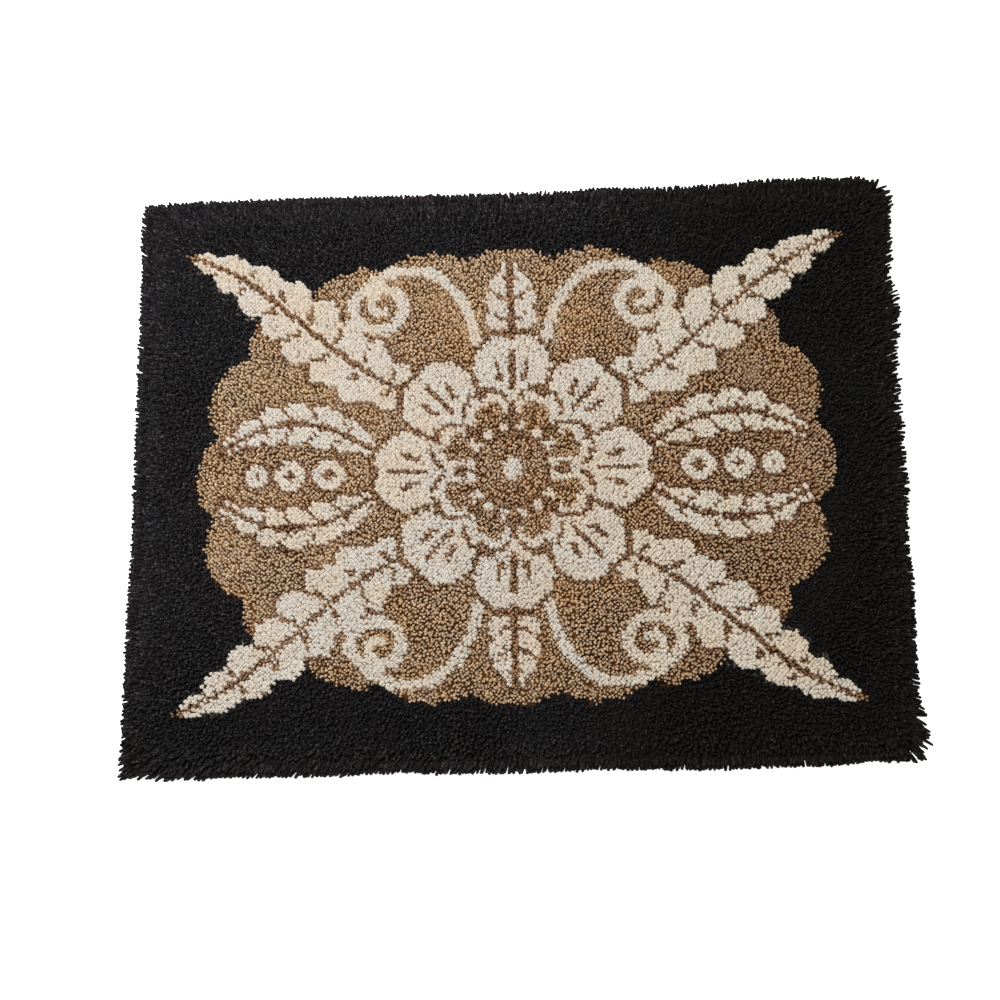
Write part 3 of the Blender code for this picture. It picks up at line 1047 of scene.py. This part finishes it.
def sheet_mesh(name, cells, places, low, high, values):
    """A closed sheet over the places of a grid, from their low heights to their high ones."""
    count = len(places)
    number = np.arange(count).reshape(cells[1] + 1, cells[0] + 1)
    top = np.stack([number[:-1, :-1], number[:-1, 1:], number[1:, 1:], number[1:, :-1]], axis=-1)
    top = top.reshape(-1, 4)
    under = top[:, ::-1] + count
    loop = np.concatenate([number[0, :-1], number[:-1, -1], number[-1, :0:-1], number[:0:-1, 0]])
    after = np.roll(loop, -1)
    side = np.stack([loop + count, after + count, after, loop], axis=-1)
    points = np.concatenate([in_frame(places, high), in_frame(places, low)])
    both = {key: np.tile(value, (2, 1)) for key, value in values.items()}
    return new_mesh(name, points, np.concatenate([top, under, side]), values=both)


def knots_at(chart, places):
    """The yarn index of the knot nearest each flat place."""
    holes = np.array((HOLES_ALONG, HOLES_ACROSS))
    along, across = np.clip(np.floor(places / HOLE_PITCH + holes / 2), 0, holes - 1).astype(int).T
    return chart[across, along]


def build_core(chart):
    """The yarn down between the ends: one sheet in the root colours of the knots, darkened as painted shade.
    """
    places = sheet_places(CORE_CELLS, CORE_OUT)
    rim = (HALF_SIZE - np.abs(places)).min(axis=1)
    top = CORE_TOP - CORE_SINK * np.clip(1 - rim / CORE_SINK_REACH, 0, 1) ** CORE_SINK_POWER
    roots = np.array([yarn.faded.root for yarn in YARNS]) * CORE_SHADE
    values = {"knot": roots[knots_at(chart, places)]}
    mesh = sheet_mesh("pile_core", CORE_CELLS, places, CORE_UNDER, top, values)
    core = new_object(mesh, core_material())
    return core


def build_canvas():
    """The sheet of canvas. Its material counts its threads in holes."""
    places = sheet_places(CANVAS_CELLS, CANVAS_OUT)
    values = {"hole": np.pad(places / HOLE_PITCH, ((0, 0), (0, 1)))}
    mesh = sheet_mesh("canvas_sheet", CANVAS_CELLS, places, CANVAS_UNDER, CANVAS_TOP, values)
    canvas = new_object(mesh, canvas_material())
    return canvas


def build_knot_backs(chart, materials):
    """Under the canvas each knot shows as a short bar of yarn across its thread."""
    rng = np.random.default_rng(SEED + 1)
    holes = knot_places()
    count = len(holes)
    size = len(BACK_SHAPE)
    half = BACK_HALF_SIZE * rng.normal(1.0, BACK_SIZE_SPREAD, (count, 1, 2))
    bar = turned(BACK_SHAPE * half, rng.normal(0, BACK_ANGLE_SPREAD, (count, 1)))
    height = np.full((count, size), BACK_TOP)
    height[:, 4:] = rng.uniform(*BACK_LOWEST, (count, 2))
    margin = HALF_SIZE - BACK_MARGIN
    points = in_frame(np.clip(holes[:, None] + bar, -margin, margin), height)
    tone = np.exp(BACK_TONE_SPREAD * rng.normal(0, 1, count))
    cool_light_share = cool_light_share_at(holes)
    strand = np.zeros((count, size, 3))
    strand[..., :2] = bar * BACK_FIBRE_STRETCH + BACK_FIBRE_OFF_AXIS
    strand[..., 2] += rng.uniform(0, 1, (count, 1, 3)).sum(axis=-1)
    uv = (holes[:, None] + bar * MAP_BACK_SHARE) / (LENGTH + MAP_MARGIN) + 0.5
    pieces = []
    for index, yarn in enumerate(YARNS):
        chosen = np.flatnonzero(chart.ravel() == index)
        first = np.arange(len(chosen))[:, None, None] * size
        values = {
            "depth": np.full(len(chosen) * size, BACK_DEPTH),
            "tone": np.repeat(tone[chosen], size),
            "cool_light_share": np.repeat(cool_light_share[chosen], size),
            "strand": strand[chosen].reshape(-1, 3),
        }
        mesh = new_mesh(
            "knots_" + yarn.name,
            points[chosen].reshape(-1, 3),
            (BACK_QUADS + first).reshape(-1, 4),
            (BACK_TRIANGLES + first).reshape(-1, 3),
            values,
            uv[chosen].reshape(-1, 2),
        )
        pieces.append(new_object(mesh, materials[index]))
    return pieces


# ---------------------------------------------------------------- studio


def build_floor():
    mesh = bpy.data.meshes.new("floor")
    corners = [(-1, -1), (1, -1), (1, 1), (-1, 1)]
    mesh.from_pydata([(x * FLOOR_HALF, y * FLOOR_HALF, 0) for x, y in corners], [], [(0, 1, 2, 3)])
    floor = new_object(mesh, floor_material())
    floor.location.z = -FLOOR_DROP


def build_world():
    """White light from all round, less of it from high above."""
    world = bpy.data.worlds.new("studio")
    world.use_nodes = True
    tree = world.node_tree
    direction = add_node(tree, "TexCoord").outputs["Generated"]
    height = add_node(tree, "SeparateXYZ", {0: direction}).outputs["Z"]
    glow = map_range(tree, height, (0.22, 0.50), (1.0, 0.42))
    feed(tree, tree.nodes["Background"], {"Strength": glow, "Color": (1.0, 1.0, 1.0, 1.0)})
    bpy.context.scene.world = world
    bpy.context.scene.view_settings.view_transform = "Standard"


def build_camera():
    """The picture's camera. Gives back its right, up and back, as the columns of a matrix."""
    data = bpy.data.cameras.new("camera")
    data.sensor_width = SENSOR_WIDTH
    data.lens = VIEW_LENS * SENSOR_WIDTH
    data.clip_end = FARTHEST_SEEN
    camera = linked("camera", data)
    axes = (
        Matrix.Rotation(VIEW_TURN, 4, "Z")
        @ Matrix.Rotation(VIEW_TILT, 4, "X")
        @ Matrix.Rotation(VIEW_ROLL, 4, "Z")
    )
    target = VIEW_TARGET - Vector((*SHIFT, 0.0))
    camera.matrix_world = Matrix.Translation(target + axes.col[2].to_3d() * VIEW_DISTANCE) @ axes
    bpy.context.scene.camera = camera
    return axes.to_3x3()


def build_lamp(lamp, camera_axes):
    """A round lamp that faces the frame's origin."""
    data = bpy.data.lights.new(lamp.name, "AREA")
    data.shape = "DISK"
    data.size = lamp.size
    data.energy = lamp.energy
    data.color = lamp.colour
    place = camera_axes @ lamp.place
    facing = place.to_track_quat("Z", "Y").to_matrix().to_4x4()
    linked(lamp.name, data).matrix_world = Matrix.Translation(place) @ facing


def build_studio():
    build_floor()
    build_world()
    camera_axes = build_camera()
    for lamp in LAMPS:
        build_lamp(lamp, camera_axes)


def main():
    chart = flower_chart()
    materials = [wool_material(yarn) for yarn in YARNS]
    pile = build_pile(chart, materials)
    core = build_core(chart)
    canvas = build_canvas()
    backs = build_knot_backs(chart, materials)
    for piece in (*pile, core, canvas, *backs):
        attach(piece, "root")
    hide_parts("pile")
    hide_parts("canvas_ground")
    build_studio()


main()
